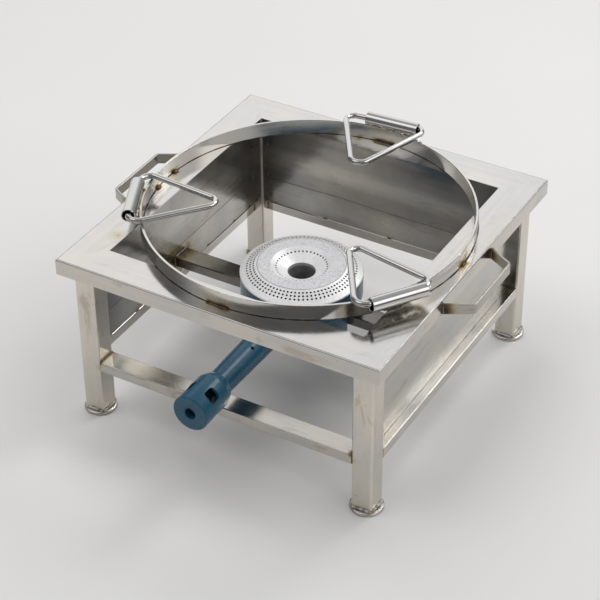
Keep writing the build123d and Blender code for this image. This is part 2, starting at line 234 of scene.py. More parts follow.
# =====================================================================
# stainless steel
# =====================================================================
def steel(name, base=(0.66, 0.64, 0.61), rough=0.30, grain="x", spots=(), wavy=0.35, grain_amount=0.5,
          smudge=0.5, warp=0.005, scratch=0.15, coords=None, mask=None, low=0.045, line=None, side=None, bands=0.0, dim=None, frost=(), stain=0.0):
    g = Graph(name)
    co = g.co if coords is None else coords(g)
    stretch = {"x": (14, 900, 900), "y": (900, 14, 900), "z": (900, 900, 14)}[grain]
    long_ = {"x": (3, 160, 160), "y": (160, 3, 160), "z": (160, 160, 3)}[grain]
    fine = g.noise(1.0, 2, 0.6, v=g.scaled(stretch, co))
    broad = g.noise(1.0, 3, 0.6, v=g.scaled(long_, co, (3.1, 7.7, 1.3)))
    cloud = g.noise(16.0, 4, 0.62)
    patch = g.noise(55.0, 3, 0.55)
    # colour: base, slightly cooler and warmer in patches, darker in the grain
    warm = tuple(c * k for c, k in zip(base, (1.03, 1.0, 0.955)))
    cool = tuple(c * k for c, k in zip(base, (0.975, 1.0, 1.02)))
    colour = g.mix(g.span(cloud, 0.35, 0.65), cool, warm)
    if side is not None:
        # painted shade: the turned-down faces are made yellower and a little darker than the flat ones
        height, warmer = side
        colour = g.mix(g.span(g.xyz()[2], height + 0.0006, height - 0.0006), colour, g.mix(1.0, colour, warmer, "MULTIPLY"))
    blot = g.noise(7.0, 3, 0.6)
    shade = g.math("MULTIPLY_ADD", g.math("SUBTRACT", broad, 0.5), 0.20 * grain_amount,
                   g.math("MULTIPLY_ADD", g.math("SUBTRACT", cloud, 0.5), 0.26 * smudge, 1.0))
    shade = g.math("MULTIPLY_ADD", g.math("SUBTRACT", blot, 0.5), 0.22 * smudge, shade)
    shade = g.math("MULTIPLY_ADD", g.math("SUBTRACT", fine, 0.5), 0.10 * grain_amount, shade)
    colour = g.mix(1.0, colour, g.join(shade, shade, shade), "MULTIPLY")
    # roughness: grain, smudges, finger marks
    r = g.math("MULTIPLY_ADD", g.math("SUBTRACT", fine, 0.5), 0.10 * grain_amount, rough)
    r = g.math("MULTIPLY_ADD", g.math("SUBTRACT", broad, 0.5), 0.12 * grain_amount, r)
    r = g.math("MULTIPLY_ADD", g.math("SUBTRACT", cloud, 0.5), 0.22 * smudge, r)
    r = g.math("MULTIPLY_ADD", g.math("SUBTRACT", patch, 0.5), 0.10 * smudge, r)
    if stain:
        # sparse brown blotches and runs left from pickling and handling
        m = g.noise(1.0, 5, 0.68, v=g.scaled({"x": (16, 44, 44), "y": (44, 16, 44), "z": (44, 44, 16)}[grain], co, (2.0, 5.0, 8.0)), distortion=0.6)
        spot = g.span(g.noise(210.0, 2, 0.5), 0.70, 0.76)
        m = g.math("MAXIMUM", g.math("MULTIPLY", g.span(m, 0.55, 0.70, smooth=True), 0.75), g.math("MULTIPLY", spot, 0.8))
        if side is not None:
            m = g.math("MULTIPLY", m, g.span(g.xyz()[2], side[0] + 0.0006, side[0] - 0.0006, 0.35, 1.0))
        colour = g.mix(g.math("MULTIPLY", m, stain), colour, g.mix(1.0, colour, (0.62, 0.52, 0.40), "MULTIPLY"))
        r = g.math("MULTIPLY_ADD", m, 0.10 * stain, r)
    # painted shade (and, inside the panels, streaks) multiplied into the colour
    if dim is not None:
        k = dim(g)
        colour = g.mix(1.0, colour, g.join(k, k, k), "MULTIPLY")
    metal = 1.0
    if frost:
        # dull, whitish places that were brushed and pickled after welding
        f = g.span(heat(g, frost, 0.010, 38.0), 0.10, 0.75, smooth=True)
        colour = g.mix(f, colour, (0.80, 0.765, 0.745))
        r = g.math("MULTIPLY_ADD", f, 0.30, r)
        metal = g.math("MULTIPLY_ADD", f, -0.55, 1.0)
    if spots:
        h = heat(g, spots, warp)
        if mask is not None:
            h = g.math("MULTIPLY", h, mask(g))
        colour = tint(g, colour, h)
        r = g.math("MULTIPLY_ADD", h, 0.20, r)
    # dark lines: dirty joints and scribed lines, and also a painted dark reflection along the deck's fold and a
    # painted shade line on the legs under the skirt
    if line is not None:
        dark = line(g)
        colour = g.mix(dark, colour, (0.045, 0.038, 0.030))
        r = g.math("MULTIPLY_ADD", dark, 0.3, r)
    r = g.math("MAXIMUM", r, low)
    # bump: drawn grain, sparse scratches and the slow waves of hand-finished sheet
    n = g.bump(g.noise(1.0, 1, 0.5, v=g.scaled((5.5, 7.0, 6.0))), wavy, 0.003)
    if bands:
        n = g.bump(g.noise(1.0, 2, 0.55, v=g.scaled((1.6, 1.6, 24.0), offset=(4.0, 2.0, 7.0))), bands, 0.003, n)
    n = g.bump(fine, 0.05 * grain_amount, 0.0003, n)
    if scratch:
        line = g.noise(1.0, 1, 0.4, v=g.scaled(tuple(40 if s < 20 else 420 for s in stretch), co, (5.0, 1.0, 9.0)), distortion=1.2)
        n = g.bump(g.span(line, 0.66, 0.74), 0.05 * scratch, 0.0002, n)
    g.set(Base_Color=colour, Roughness=r, Metallic=metal, Normal=n)
    return g.mat


def ring_coords(cx, cy):
    """(angle x radius, radius, height) about a vertical axis."""
    def make(g):
        x, y, z = g.xyz()
        dx, dy = g.math("SUBTRACT", x, cx), g.math("SUBTRACT", y, cy)
        a = g.math("ARCTAN2", dy, dx)
        rr = g.math("SQRT", g.math("ADD", g.math("MULTIPLY", dx, dx), g.math("MULTIPLY", dy, dy)))
        return g.join(g.math("MULTIPLY", a, 0.188), rr, z)
    return make


def turned(angle):
    """coordinates turned about Z so that X runs along that direction."""
    def make(g):
        n = g.new("ShaderNodeVectorRotate")
        n.rotation_type = "Z_AXIS"
        g.put(n.inputs["Vector"], g.co)
        n.inputs["Angle"].default_value = -angle
        return n.outputs[0]
    return make


def D(x, y, z):
    """deck-centred millimetres to the frame's metres"""
    return (x / 1000.0, y / 1000.0 + MY, z / 1000.0)


RC = Vector((0.0015, MY - 0.0015, 0.0))      # ring axis
RING_R = 0.1884


def on_ring(deg, r=RING_R, z=0.212):
    a = radians(deg)
    return (RC.x + r * cos(a), RC.y + r * sin(a), z)


# tint spots, by region
ring_heat = [
    ("l", on_ring(-94.0, 0.1885, 0.2120), on_ring(-87.2, 0.1885, 0.2120), 0.0095, 0.86),
    ("l", on_ring(-96, 0.1885, 0.2205), on_ring(-88, 0.1885, 0.216), 0.014, 0.36),
    ("l", on_ring(0.6, 0.1885, 0.214), on_ring(3.4, 0.1885, 0.218), 0.015, 0.80),
    ("s", on_ring(3.4, 0.1885, 0.224), 0.018, 0.42),
    ("l", on_ring(87.5, 0.1854, 0.213), on_ring(95, 0.1854, 0.213), 0.010, 0.60),
    ("s", on_ring(177.5, 0.185, 0.212), 0.013, 0.85),
    ("s", on_ring(189, 0.185, 0.212), 0.012, 0.8),
    ("l", on_ring(80.5, 0.187, 0.2302), on_ring(98.5, 0.187, 0.2302), 0.007, 0.45),
    ("l", on_ring(197.5, 0.187, 0.2302), on_ring(215.5, 0.187, 0.2302), 0.007, 0.50),
    ("l", on_ring(-41.5, 0.187, 0.2302), on_ring(-23.0, 0.187, 0.2302), 0.007, 0.50),
    ("s", on_ring(-22, 0.1885, 0.226), 0.014, 0.42),
    ("s", on_ring(-42.5, 0.1885, 0.224), 0.013, 0.42),
]
deck_heat = [
    ("l", D(-14, 182.5, 212), D(9, 182.5, 212), 0.0085, 0.72),
    ("s", D(-33, 178, 212), 0.010, 0.62),
    ("s", D(-183, 8.5, 212), 0.0085, 0.9),
    ("s", D(-182, -27, 212), 0.0095, 0.85),
    ("l", on_ring(-94.3, 0.1895, 0.212), on_ring(-87, 0.1895, 0.212), 0.0055, 0.8),
    ("l", D(190.5, 1, 212), D(190.5, 7, 212), 0.009, 0.95),
    ("s", D(-166, -133, 212), 0.017, 0.46),
    ("s", D(168, 20, 212), 0.006, 0.3),
]
handle_heat = []
skirt_heat = []
for s in (-1, 1):
    for e in (-1, 1):
        root = D(s * 201, -3.2 + e * 60, 199)
        handle_heat.append(("s", root, 0.021, 1.05))
        skirt_heat.append(("s", root, 0.011, 0.9))
leg_heat, rail_heat, panel_heat = [], [], []
for sx in (-1, 1):
    for sy in (-1, 1):
        lx, ly = sx * 174, sy * 179
        for a, b in (((-13, -13), (13, -13)), ((13, -13), (13, 13)), ((13, 13), (-13, 13)), ((-13, 13), (-13, -13))):
            leg_heat.append(("l", D(lx + a[0], ly + a[1], 4), D(lx + b[0], ly + b[1], 4), 0.0055, 0.42))
    # front rail ends
    leg_heat.append(("l", D(sx * 161.3, -166.5, 69), D(sx * 161.3, -191.5, 69), 0.0105, 0.55))
    rail_heat.append(("l", D(sx * 161, -166.5, 75.2), D(sx * 161, -191.5, 75.2), 0.0060, 0.85))
    top = 81.6 if sx < 0 else 76.4
    for sy in (-1, 1):
        leg_heat.append(("s", D(sx * 180.4, sy * 166.5, top - 5), 0.0105, 0.62))
        rail_heat.append(("s", D(sx * 180.4, sy * 166, top), 0.0085, 0.9))
    leg_heat.append(("s", D(sx * 161.5, 185.4, 76), 0.011, 0.6))
    rail_heat.append(("s", D(sx * 161, 185.4, 81.6), 0.009, 0.9))
    panel_heat.append(("l", D(sx * 174.8, -12, 100), D(sx * 174.8, 12, 100), 0.026, 0.74))
    panel_heat.append(("l", D(sx * 174.8, -30, 108), D(sx * 174.8, 26, 120), 0.024, 0.34))
    for k, y in enumerate((-150, -95, -20, 60, 120, 158)):
        panel_heat.append(("s", D(sx * 174.9, y, top + 1), 0.006, 0.5))
for x in (-150, -80, 10, 90, 150):
    panel_heat.append(("s", D(x, 180, 82.5), 0.006, 0.5))
bar_heat = [("l", D(s * 174.5, -12, 100), D(s * 174.5, 12, 100), 0.03, 0.85) for s in (-1, 1)]
bar_heat += [("s", D(s * 38, 0, 93.8), 0.006, 0.4) for s in (-1, 1)]



def inner_side(axis, limit):
    """1 on the inside face of a panel, 0 on its outside."""
    def make(g):
        x, y, z = g.xyz()
        v = g.math("ABSOLUTE", x) if axis == "x" else y
        return g.math("LESS_THAN", v, limit)
    return make


def joint_on_ring(g):
    """The dirty foot of the ring, where it stands on the deck."""
    x, y, z = g.xyz()
    patch = g.noise(75.0, 3, 0.6)
    edge = g.math("MULTIPLY_ADD", patch, 0.0011, 0.21205)
    return g.math("MULTIPLY", g.span(z, g.math("ADD", edge, 0.0003), edge), g.span(patch, 0.30, 0.55, 0.55, 0.95))


def joint_on_deck(g):
    """Grime on the deck along both sides of the ring's foot."""
    x, y, z = g.xyz()
    dx, dy = g.math("SUBTRACT", x, RC.x), g.math("SUBTRACT", y, RC.y)
    rr = g.math("SQRT", g.math("ADD", g.math("MULTIPLY", dx, dx), g.math("MULTIPLY", dy, dy)))
    off = g.math("SUBTRACT", g.math("ABSOLUTE", g.math("SUBTRACT", rr, 0.1869)), 0.0015)
    patch = g.noise(75.0, 3, 0.6)
    wide = g.math("MULTIPLY_ADD", patch, 0.0012, 0.0002)
    return g.math("MULTIPLY", g.math("MULTIPLY", g.span(off, g.math("ADD", wide, 0.0004), wide), g.math("GREATER_THAN", z, 0.2117)),
                  g.span(patch, 0.30, 0.55, 0.45, 0.9))


def deck_lines(g):
    """Grime at the ring's foot, and a painted dark reflection line that runs along the fold."""
    x, y, z = g.xyz()
    ym = g.math("SUBTRACT", y, MY)
    out = g.math("MAXIMUM", g.math("SUBTRACT", g.math("ABSOLUTE", x), 0.200), g.math("SUBTRACT", g.math("ABSOLUTE", ym), 0.205))
    patch = g.noise(90.0, 3, 0.6)
    # painted reflection: a dark line along the top of the fold
    off = g.math("ABSOLUTE", g.math("SUBTRACT", out, -0.0014))
    fold = g.math("MULTIPLY", g.math("MULTIPLY", g.span(off, 0.0006, 0.0002), g.math("GREATER_THAN", z, 0.2114)), g.span(patch, 0.30, 0.6, 0.35, 0.75))
    return g.math("MAXIMUM", joint_on_deck(g), fold)


def panel_lines(axis, limit, height):
    """The scribed line inside, and the dirty joint with the rail outside."""
    def make(g):
        x, y, z = g.xyz()
        v = g.math("ABSOLUTE", x) if axis == "x" else y
        patch = g.noise(60.0, 3, 0.6)
        low = g.math("ADD", g.math("MULTIPLY", g.math("GREATER_THAN", x, 0.0), -0.0052), 0.0816) if axis == "x" else 0.0816
        up = g.math("SUBTRACT", z, low)
        foot = g.math("MULTIPLY", g.math("MULTIPLY", g.span(up, g.math("MULTIPLY_ADD", patch, 0.0022, 0.0003), 0.0001), g.span(patch, 0.30, 0.6, 0.45, 0.9)),
                      g.math("GREATER_THAN", v, limit))
        return g.math("MAXIMUM", scribed(axis, limit, height)(g), foot)
    return make


def scribed(axis, limit, height):
    """A fine dark line along the inside of a panel."""
    def make(g):
        x, y, z = g.xyz()
        v = g.math("ABSOLUTE", x) if axis == "x" else y
        slow = g.noise(9.0, 2, 0.5)
        off = g.math("ABSOLUTE", g.math("SUBTRACT", z, g.math("MULTIPLY_ADD", slow, 0.004, height - 0.002)))
        return g.math("MULTIPLY", g.math("MULTIPLY", g.span(off, 0.0009, 0.0003), g.math("LESS_THAN", v, limit)), 0.5)
    return make


def inside_dim(axis, limit, bands):
    """Inside of the panels: painted shade towards the corners, lighter and darker bands by height, and streaks along.
    """
    def make(g):
        x, y, z = g.xyz()
        ym = g.math("SUBTRACT", y, MY)
        v = g.math("ABSOLUTE", x) if axis == "x" else y
        along = ym if axis == "x" else x
        inside = g.math("LESS_THAN", v, limit)
        slow = g.noise(1.0, 3, 0.6, v=g.scaled((5.0, 5.0, 42.0), offset=(1.0, 6.0, 2.0)))
        blot = g.noise(22.0, 4, 0.65)
        zz = g.math("ADD", z, g.math("MULTIPLY_ADD", slow, 0.020, -0.010))
        prof = g.ramp(g.span(zz, 0.080, 0.200), [
            (0.00, 0.80), (0.13, 0.98), (0.27, 0.92), (0.34, 0.74), (0.46, 0.84), (0.55, 1.24), (0.63, 1.20), (0.71, 0.84), (0.88, 0.68), (1.0, 0.85)])
        prof = g.math("MULTIPLY_ADD", g.math("SUBTRACT", prof, 1.0), bands, 1.0)
        # painted shade: darker towards the corners by the legs
        corner = g.span(g.math("ADD", g.math("ABSOLUTE", along), g.math("MULTIPLY", blot, 0.030)), 0.120, 0.176, 1.0, 0.52, smooth=True)
        streak = g.math("MULTIPLY_ADD", g.math("SUBTRACT", blot, 0.5), 0.55, 1.0)
        k = g.math("MULTIPLY", g.math("MULTIPLY", prof, corner), streak)
        return g.math("MULTIPLY_ADD", g.math("SUBTRACT", k, 1.0), inside, 1.0)
    return make


def leg_dim(g):
    """The back legs are painted darker inside the panels above the rail: painted shade."""
    x, y, z = g.xyz()
    ym = g.math("SUBTRACT", y, MY)
    inner = g.math("MAXIMUM", g.math("LESS_THAN", g.math("ABSOLUTE", x), 0.1630), g.math("LESS_THAN", ym, 0.1680))
    inner = g.math("MULTIPLY", inner, g.math("GREATER_THAN", ym, 0.0))
    blot = g.noise(60.0, 3, 0.6)
    up = g.span(g.math("MULTIPLY_ADD", blot, 0.012, z), 0.082, 0.094, smooth=True)
    return g.math("MULTIPLY_ADD", g.math("MULTIPLY", inner, up), g.math("MULTIPLY_ADD", blot, 0.5, -0.78), 1.0)


def under_skirt(g):
    """A painted shade line on each leg right under the skirt."""
    z = g.xyz()[2]
    patch = g.noise(140.0, 3, 0.6)
    off = g.math("ABSOLUTE", g.math("SUBTRACT", z, g.math("MULTIPLY_ADD", patch, 0.0012, 0.1916)))
    return g.math("MULTIPLY", g.span(off, 0.0009, 0.0003), g.span(patch, 0.35, 0.6, 0.25, 0.85))


M = {}
DECK = dict(base=(0.612, 0.598, 0.588), rough=0.155, spots=deck_heat + skirt_heat, wavy=0.24, smudge=0.85, grain_amount=0.9, warp=0.004,
            line=deck_lines, side=(0.2100, (0.97, 0.94, 0.89)),
            stain=0.55, frost=[("l", D(-42, 183, 212), D(24, 182, 212), 0.030, 1.0)])
M["deck_x"] = steel("deck_steel_x", grain="x", **DECK)
M["deck_y"] = steel("deck_steel_y", grain="y", **DECK)
M["leg"] = steel("leg_steel", (0.655, 0.62, 0.565), 0.21, "z", leg_heat, wavy=0.30, smudge=1.0, grain_amount=1.0, dim=leg_dim, line=under_skirt, stain=0.75)
# front and back rails: the side rails' steel painted darker, as painted shade
M["rail_x"] = steel("rail_steel_x_shaded", (0.53, 0.508, 0.470), 0.17, "x", rail_heat, wavy=0.28, smudge=0.9, grain_amount=1.2, stain=0.7)
M["rail_y"] = steel("rail_steel_y", (0.66, 0.635, 0.60), 0.16, "y", rail_heat, wavy=0.28, smudge=0.9, grain_amount=1.2, stain=0.6)
M["panel_x"] = steel("panel_steel_x", (0.49, 0.475, 0.445), 0.21, "x", panel_heat, wavy=0.40, smudge=1.0, grain_amount=1.2, warp=0.010, mask=inner_side("y", MY + 0.1803), line=panel_lines("y", MY + 0.1803, 0.1175), bands=0.35, dim=inside_dim("y", MY + 0.1803, 1.0), stain=0.5)
M["panel_y"] = steel("panel_steel_y", (0.56, 0.545, 0.515), 0.20, "y", panel_heat, wavy=0.38, smudge=1.0, grain_amount=1.2, warp=0.010, mask=inner_side("x", 0.1754), line=panel_lines("x", 0.1754, 0.1175), bands=0.30, dim=inside_dim("x", 0.1754, 0.5), stain=0.6)
M["handle"] = steel("handle_steel", (0.41, 0.398, 0.375), 0.19, "y", handle_heat, wavy=0.15, smudge=0.9, stain=0.7)
M["ring"] = steel("ring_steel", (0.63, 0.62, 0.60), 0.165, "x", ring_heat, wavy=0.32, smudge=0.8, grain_amount=1.0, coords=ring_coords(RC.x, RC.y), warp=0.0045, line=joint_on_ring)
M["bar"] = steel("crossbar_steel", (0.21, 0.198, 0.182), 0.22, "x", bar_heat, wavy=0.2, smudge=0.9, warp=0.008)
for key, a in (("left", 204.8), ("back", 93.7), ("right", -34.45)):
    M["sleeve_" + key] = steel("sleeve_steel_" + key, (0.60, 0.597, 0.59), 0.11, "x", coords=turned(radians(a + 90)), wavy=0.05, smudge=0.35)
M["rod"] = steel("rod_steel", (0.62, 0.615, 0.60), 0.10, "z", grain_amount=0.2, wavy=0.05, smudge=0.35, scratch=0.1)


def weld_material():
    g = Graph("weld_bead")
    a = g.noise(230.0, 4, 0.6)
    b = g.noise(60.0, 3, 0.6)
    colour = g.ramp(g.math("ADD", g.math("MULTIPLY", a, 0.55), g.math("MULTIPLY", b, 0.45)), [
        (0.30, (0.05, 0.038, 0.028)), (0.42, (0.15, 0.11, 0.075)), (0.50, (0.21, 0.175, 0.15)),
        (0.58, (0.12, 0.12, 0.145)), (0.68, (0.30, 0.28, 0.25))])
    n = g.bump(a, 0.5, 0.0006)
    n = g.bump(g.noise(900.0, 2, 0.5), 0.3, 0.0002, n)
    g.set(Base_Color=colour, Metallic=0.9, Roughness=g.math("MULTIPLY_ADD", b, 0.35, 0.18), Normal=n)
    return g.mat


def bright_weld_material():
    g = Graph("weld_bead_bright")
    a = g.noise(260.0, 4, 0.65)
    b = g.noise(75.0, 3, 0.6)
    colour = g.ramp(g.math("ADD", g.math("MULTIPLY", a, 0.6), g.math("MULTIPLY", b, 0.4)), [
        (0.32, (0.05, 0.044, 0.036)), (0.41, (0.20, 0.18, 0.155)), (0.48, (0.48, 0.46, 0.43)),
        (0.56, (0.68, 0.67, 0.65)), (0.70, (0.82, 0.81, 0.79))])
    n = g.bump(a, 0.6, 0.0006)
    g.set(Base_Color=colour, Metallic=0.35, Roughness=g.math("MULTIPLY_ADD", b, 0.25, 0.12), Normal=n)
    return g.mat


def foot_material():
    g = Graph("foot_steel")
    x, y, z = g.xyz()
    cloud = g.noise(120.0, 4, 0.6)
    base = g.ramp(cloud, [(0.3, (0.46, 0.44, 0.40)), (0.5, (0.60, 0.58, 0.54)), (0.7, (0.70, 0.68, 0.65))])
    spots = []
    for sx in (-1, 1):
        for sy in (-1, 1):
            c, d = sx * 174, sy * 179
            for a, b in (((-13, -13), (13, -13)), ((13, -13), (13, 13)), ((13, 13), (-13, 13)), ((-13, 13), (-13, -13))):
                spots.append(("l", D(c + a[0], d + a[1], 4), D(c + b[0], d + b[1], 4), 0.0045, 0.45))
    h = heat(g, spots, 0.003, 160.0)
    g.set(Base_Color=tint(g, base, h), Metallic=1.0,
          Roughness=g.math("MULTIPLY_ADD", cloud, 0.35, 0.12),
          Normal=g.bump(g.noise(420.0, 3, 0.6), 0.25, 0.0005))
    return g.mat


def paint_material():
    g = Graph("burner_paint")
    x, y, z = g.xyz()
    sand = g.noise(620.0, 3, 0.65)
    lump = g.noise(150.0, 4, 0.6)
    big = g.noise(28.0, 3, 0.55)
    colour = g.ramp(big, [(0.3, (0.008, 0.072, 0.132)), (0.5, (0.011, 0.088, 0.158)), (0.7, (0.016, 0.106, 0.184))])
    worn = g.span(g.math("ADD", g.math("MULTIPLY", sand, 0.5), g.math("MULTIPLY", lump, 0.5)), 0.60, 0.70)
    colour = g.mix(g.math("MULTIPLY", worn, 0.28), colour, (0.09, 0.21, 0.29))
    pit = g.span(sand, 0.36, 0.28)
    colour = g.mix(g.math("MULTIPLY", pit, 0.5), colour, (0.010, 0.028, 0.045))
    # the bore of the chimney carries no paint
    dx, dy = g.math("SUBTRACT", x, 0.0), g.math("SUBTRACT", y, MY - 0.016)
    rr = g.math("SQRT", g.math("ADD", g.math("MULTIPLY", dx, dx), g.math("MULTIPLY", dy, dy)))
    bare = g.span(rr, 0.0172, 0.0166)
    colour = g.mix(bare, colour, g.ramp(lump, [(0.3, (0.16, 0.16, 0.16)), (0.7, (0.28, 0.28, 0.28))]))
    n = g.bump(lump, 0.42, 0.0014)
    n = g.bump(sand, 0.70, 0.0006, n)
    g.set(Base_Color=colour, Metallic=0.0, Roughness=g.math("MULTIPLY_ADD", lump, 0.20, 0.20), Normal=n,
          Coat_Weight=0.35, Coat_Roughness=0.13, Specular_IOR_Level=0.25)
    return g.mat


CAP_C = Vector((0.0, MY - 0.016, 0.0))


def cap_material():
    g = Graph("burner_cap_metal")
    x, y, z = g.xyz()
    dx, dy = g.math("SUBTRACT", x, CAP_C.x), g.math("SUBTRACT", y, CAP_C.y)
    rr = g.math("SQRT", g.math("ADD", g.math("MULTIPLY", dx, dx), g.math("MULTIPLY", dy, dy)))
    speck = g.noise(420.0, 4, 0.7)
    cloud = g.noise(45.0, 4, 0.6)
    vein = g.noise(150.0, 5, 0.7)
    # the flat annulus stays as cast: grey, speckled and veined
    base = g.ramp(speck, [(0.30, (0.38, 0.38, 0.395)), (0.42, (0.60, 0.60, 0.615)), (0.55, (0.71, 0.71, 0.725)), (0.72, (0.84, 0.84, 0.85))])
    base = g.mix(g.math("MULTIPLY", g.span(vein, 0.42, 0.33), 0.5), base, (0.48, 0.48, 0.49))
    base = g.mix(g.math("MULTIPLY", g.span(cloud, 0.40, 0.62), 0.35), base, (0.70, 0.70, 0.715))
    # turned faces: the port cone and the dish, with fine concentric tool marks
    line = g.noise(1.0, 2, 0.6, v=g.join(g.math("MULTIPLY", rr, 2600.0), g.math("MULTIPLY", z, 2600.0), 0.0))
    cut = g.math("MAXIMUM", g.span(rr, 0.0508, 0.0516), g.span(rr, 0.0356, 0.0344))
    bright = g.ramp(speck, [(0.30, (0.76, 0.76, 0.765)), (0.45, (0.89, 0.89, 0.895)), (0.60, (0.93, 0.93, 0.935))])
    colour = g.mix(g.math("MULTIPLY", cut, 0.85), base, bright)
    # darker line round the annulus, along the groove
    groove = g.math("MULTIPLY", g.span(g.math("ABSOLUTE", g.math("SUBTRACT", rr, 0.0504)), 0.0007, 0.0002),
                    g.span(cloud, 0.30, 0.60, 0.35, 0.9))
    colour = g.mix(groove, colour, (0.26, 0.26, 0.265))
    # walls of the drilled ports and of the bore: painted dark, as painted shade inside the holes
    nz = g.math("ABSOLUTE", g.xyz(g.new("ShaderNodeNewGeometry").outputs["Normal"])[2])
    steep = g.span(nz, 0.72, 0.60)
    zone = g.math("MAXIMUM",
                  g.math("MULTIPLY", g.math("GREATER_THAN", rr, 0.0265), g.math("LESS_THAN", rr, 0.0312)),
                  g.math("MULTIPLY", g.math("GREATER_THAN", rr, 0.0525), g.math("LESS_THAN", rr, 0.0642)))
    zone = g.math("MAXIMUM", zone, g.math("LESS_THAN", rr, 0.0163))
    wall = g.math("MULTIPLY", steep, zone)
    colour = g.mix(wall, colour, g.mix(g.math("LESS_THAN", rr, 0.0163), (0.045, 0.045, 0.046), (0.48, 0.48, 0.48)))
    rough = g.math("MULTIPLY_ADD", speck, 0.25, g.math("MULTIPLY_ADD", cut, -0.06, 0.34))
    n = g.bump(speck, 0.30, 0.0006)
    n = g.bump(vein, 0.22, 0.0012, n)
    n = g.bump(line, g.math("MULTIPLY", cut, 0.12), 0.0002, n)
    metal = g.math("MULTIPLY_ADD", wall, -0.28, 0.28)
    g.set(Base_Color=colour, Metallic=metal, Roughness=g.math("MULTIPLY_ADD", wall, 0.3, rough), Normal=n)
    return g.mat


def brass_material():
    g = Graph("jet_brass")
    a = g.noise(300.0, 3, 0.6)
    g.set(Base_Color=g.ramp(a, [(0.3, (0.45, 0.31, 0.12)), (0.7, (0.68, 0.50, 0.22))]), Metallic=1.0,
          Roughness=g.math("MULTIPLY_ADD", a, 0.2, 0.25), Normal=g.bump(a, 0.2, 0.0003))
    return g.mat


def zinc_material():
    g = Graph("fastener_steel")
    a = g.noise(160.0, 3, 0.6)
    g.set(Base_Color=g.ramp(a, [(0.3, (0.50, 0.50, 0.50)), (0.7, (0.68, 0.68, 0.66))]), Metallic=1.0,
          Roughness=g.math("MULTIPLY_ADD", a, 0.25, 0.25), Normal=g.bump(a, 0.15, 0.0003))
    return g.mat


M["weld"] = weld_material()
M["weld_bright"] = bright_weld_material()
M["foot"] = foot_material()
M["paint"] = paint_material()
M["cap"] = cap_material()
M["brass"] = brass_material()
M["zinc"] = zinc_material()


def wear(node, key):
    o = N[node]
    if not o.material_slots:
        o.data.materials.append(M[key])
    for s in o.material_slots:
        s.material = M[key]


for n, k in {
    "deck_front": "deck_x", "deck_back": "deck_x", "deck_left": "deck_y", "deck_right": "deck_y",
    "leg_front_left": "leg", "leg_front_right": "leg", "leg_back_left": "leg", "leg_back_right": "leg",
    "rail_front": "rail_x", "rail_back": "rail_x", "rail_left": "rail_y", "rail_right": "rail_y",
    "panel_left": "panel_y", "panel_right": "panel_y", "panel_back": "panel_x",
    "handle_left": "handle", "handle_right": "handle", "pot_ring": "ring", "burner_crossbar": "bar",
    "hinge_sleeve_left": "sleeve_left", "hinge_sleeve_back": "sleeve_back", "hinge_sleeve_right": "sleeve_right",
    "pot_support_left": "rod", "pot_support_back": "rod", "pot_support_right": "rod",
    "burner_bowl": "paint", "venturi_tube": "paint", "mixer_bell": "paint", "burner_cap": "cap",
    "gas_jet": "brass", "burner_bolts": "zinc", "burner_washers": "zinc",
    "foot_front_left": "foot", "foot_front_right": "foot", "foot_back_left": "foot", "foot_back_right": "foot",
}.items():
    wear(n, k)


# =====================================================================
# pieces made here
# =====================================================================
def add_piece(name, bm, key, body, smooth=True):
    bmesh.ops.recalc_face_normals(bm, faces=bm.faces)
    me = bpy.data.meshes.new(name)
    bm.to_mesh(me)
    bm.free()
    if smooth:
        me.polygons.foreach_set("use_smooth", [True] * len(me.polygons))
    me.materials.append(M[key])
    o = bpy.data.objects.new(name, me)
    COL.objects.link(o)
    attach(o, body)
    return o


def resample(pts, step):
    pts = [Vector(p) for p in pts]
    out, carry = [pts[0]], 0.0
    total = sum((b - a).length for a, b in zip(pts[:-1], pts[1:]))
    n = max(3, int(total / step))
    step = total / n
    i, base, need = 0, 0.0, step
    for a, b in zip(pts[:-1], pts[1:]):
        d = (b - a).length
        while need <= base + d + 1e-9 and len(out) < n:
            out.append(a.lerp(b, (need - base) / d))
            need += step
        base += d
    out.append(pts[-1])
    return out


def bead_into(bm, pts, r, seed, squash=1.0, ripple=0.0016, sides=9, closed=False):
    """A lumpy run of weld along a line: rippled, uneven and closed."""
    rnd = random.Random(seed)
    ph = rnd.uniform(0, 6.28)
    line = resample(pts, 0.00055)
    if closed:
        line = line[:-1]
    rings = []
    count = len(line)
    s = 0.0
    for i, p in enumerate(line):
        if closed:
            t = (line[(i + 1) % count] - line[i - 1]).normalized()
        else:
            t = (line[min(i + 1, count - 1)] - line[max(i - 1, 0)]).normalized()
        side = t.cross(Vector((0, 0, 1)))
        if side.length < 0.3:
            side = t.cross(Vector((1, 0, 0)))
        side.normalize()
        up = side.cross(t)
        s = i * 0.00055
        wob = noise.noise(Vector((s * 240 + seed * 3.7, seed * 1.3, 0)))
        wave = abs(sin(pi * s / ripple + ph + 1.4 * noise.noise(Vector((s * 170, seed, 4)))))
        rad = r * (0.80 + 0.20 * wave + 0.34 * wob)
        if not closed:
            e = min(i, count - 1 - i) / max(3.0, 0.0012 / 0.00055 * 1.6)
            rad *= sqrt(max(0.02, min(1.0, e))) if e < 1 else 1.0
        c = p + side * (r * 0.22 * noise.noise(Vector((s * 150, 9, seed)))) + up * (r * 0.12 * noise.noise(Vector((s * 190, seed, 2))))
        ring = []
        for k in range(sides):
            a = 2 * pi * k / sides
            lump = 1 + 0.10 * noise.noise(Vector((s * 500, cos(a) * 1.5 + seed, sin(a) * 1.5)))
            ring.append(bm.verts.new(c + side * cos(a) * rad * lump + up * sin(a) * rad * lump * squash))
        rings.append(ring)
    pairs = list(zip(rings[:-1], rings[1:]))
    if closed:
        pairs.append((rings[-1], rings[0]))
    for A, B in pairs:
        for k in range(sides):
            bm.faces.new((A[k], A[(k + 1) % sides], B[(k + 1) % sides], B[k]))
    if not closed:
        bm.faces.new(list(reversed(rings[0])))
        bm.faces.new(rings[-1])


